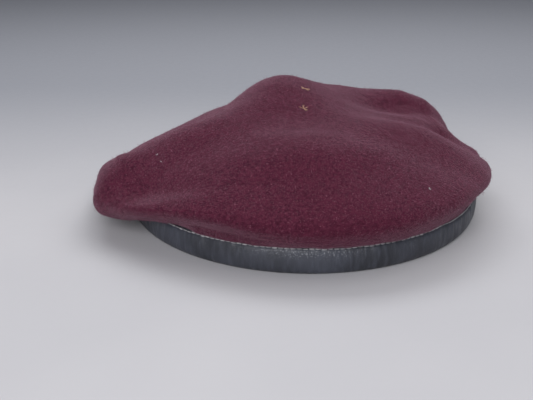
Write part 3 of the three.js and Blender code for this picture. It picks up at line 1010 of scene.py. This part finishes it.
make_piece(
    "binding_bobbin_stitches", stitches(bobbin_path, **BOBBIN_STITCH), black,
    ["binding_bobbin_thread"], ring=False,
)

# The lining's seams: the rows of the tip's and the side's grids that they follow, and how far they stand
# out below the cloth.
TIP_SEAM = {"row": 1.2, "lift": 0.15 * MM}
SIDE_HEM = {"row": 4.0, "lift": 0.1 * MM}
LINING_STITCH = {"share": 0.8, "radius": 0.22 * MM, "arch": 0, "wander": 0}
satin = satin_material()
side, side_back = lining_side(satin)
tip, tip_back = lining_tip(satin)
make_piece(
    "lining_seam_stitches", stitches(seam_line(tip_back, **TIP_SEAM), **LINING_STITCH), black,
    ["lining_seam_thread"], ring=False,
)
make_piece(
    "lining_hem_stitches", stitches(seam_line(side_back, **SIDE_HEM), **LINING_STITCH), black,
    ["lining_hem_thread"], ring=False,
)
label = label_and_stitches(tip_back, label_material(), black)
draw_tape(tape_material())

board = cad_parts["badge_stiffener"]
board.data.materials.clear()
board.data.materials.append(board_material())

# Each bit of lint lies at x, y in millimetres and has so many strands.
STRAW_LINT = {"places": ((6, -13, 3), (4.5, -31, 3)), "length": 5.0 * MM, "radius": 0.16 * MM}
PALE_LINT = {
    "places": ((59, -83, 2), (-68, -51, 1), (-65, -56, 1)), "length": 1.3 * MM, "radius": 0.14 * MM,
}
straw = thread_material("straw_lint", srgb(176, 132, 104), srgb(232, 196, 164), 0.1)
lint(felt_outside, "straw_lint", straw, **STRAW_LINT)
lint(felt_outside, "pale_lint", pale, **PALE_LINT)


# ------------------------------------------------------------------------------------------------
# The studio: a round pale floor with a low wall, soft lights and the camera.

BACKDROP = {"radius": 2.0, "rise": 1.3, "bend": 0.5, "columns": 96, "bend_steps": 17}
SOFT_LIGHTS = [             # name, place, size, power in watts, colour
    ("key", (0.42, -0.10, 0.92), (0.8, 0.7), 2.3, (1.0, 0.985, 0.97)),
    ("fill", (-0.20, -0.95, 0.52), (1.1, 0.6), 7.8, (0.99, 0.985, 1.0)),
    ("back", (-0.05, 0.42, 0.8), (1.0, 0.4), 3.6, (0.98, 0.98, 1.0)),
]
LIT_PLACE = (0, 0, 0.03)    # the point that the lights face
STUDIO_AIR = {"colour": (0.86, 0.88, 0.93, 1), "strength": 0.33}
CAMERA = {"lens": 50, "distance": 0.416, "elevation": math.radians(21.4)}
CAMERA_AIM = (-0.020, -0.009)     # where on the floor it aims, from the opening's middle


def stage_material():
    """A pale matt floor, darker towards the back and up the wall."""
    stage = Surface("studio_pale", Specular_IOR_Level=0.3)
    broad = stage.noise(0.22, detail=3)
    grain = stage.noise(6 * MM, detail=3)
    floor = stage.mix(stage.levels(broad, 0.3, 0.7, 0, 0.4), srgb(208, 207, 210), srgb(190, 190, 195))
    floor = stage.mix(stage.levels(stage.along("Y"), -0.05, 0.30), floor, srgb(164, 166, 173))
    stage.colour(stage.mix(stage.levels(stage.along("Z"), 0.0, 0.10), floor, srgb(146, 148, 156)))
    stage.roughness(stage.levels(grain, 0.2, 0.8, 0.55, 0.7))
    return stage.material


def backdrop():
    """A round floor that curves up into a low wall all the way round."""
    radius, bend, columns = BACKDROP["radius"], BACKDROP["bend"], BACKDROP["columns"]
    quarter = np.linspace(0, math.pi / 2, BACKDROP["bend_steps"])
    profile = [(radius - bend + bend * math.sin(a), bend - bend * math.cos(a)) for a in quarter]
    profile += [(radius, BACKDROP["rise"])]
    turn = around(columns)
    vertices = [(r * math.cos(a), r * math.sin(a), z) for r, z in profile for a in turn]
    faces = [list(range(columns))] + grid_faces(len(profile), columns, True, False).tolist()
    mesh = bpy.data.meshes.new("studio_floor")
    mesh.from_pydata(vertices, [], faces)
    mesh.shade_smooth()
    mesh.materials.append(stage_material())
    floor = bpy.data.objects.new("studio_floor", mesh)
    bpy.context.collection.objects.link(floor)


def look_at(thing, target):
    thing.rotation_euler = (Vector(target) - thing.location).to_track_quat("-Z", "Y").to_euler()


def soft_light(name, place, size, power, colour):
    light = bpy.data.lights.new(name, "AREA")
    light.shape = "RECTANGLE"
    light.size, light.size_y = size
    light.energy = power
    light.color = colour
    lamp = bpy.data.objects.new(name, light)
    bpy.context.collection.objects.link(lamp)
    lamp.location = place
    look_at(lamp, LIT_PLACE)


def studio_camera():
    camera = bpy.data.cameras.new("camera")
    camera.lens = CAMERA["lens"]
    camera.sensor_width = 36
    camera.clip_start = 0.01
    viewer = bpy.data.objects.new("camera", camera)
    bpy.context.collection.objects.link(viewer)
    target = Vector((opening_middle[0] + CAMERA_AIM[0], opening_middle[1] + CAMERA_AIM[1], 0))
    backwards = Vector((0, -math.cos(CAMERA["elevation"]), math.sin(CAMERA["elevation"])))
    viewer.location = target + backwards * CAMERA["distance"]
    look_at(viewer, target)
    bpy.context.scene.camera = viewer


backdrop()
for soft in SOFT_LIGHTS:
    soft_light(*soft)
world = bpy.data.worlds.new("studio_air")
world.use_nodes = True
world.node_tree.nodes["Background"].inputs["Color"].default_value = STUDIO_AIR["colour"]
world.node_tree.nodes["Background"].inputs["Strength"].default_value = STUDIO_AIR["strength"]
bpy.context.scene.world = world
bpy.context.scene.view_settings.view_transform = "Standard"
studio_camera()
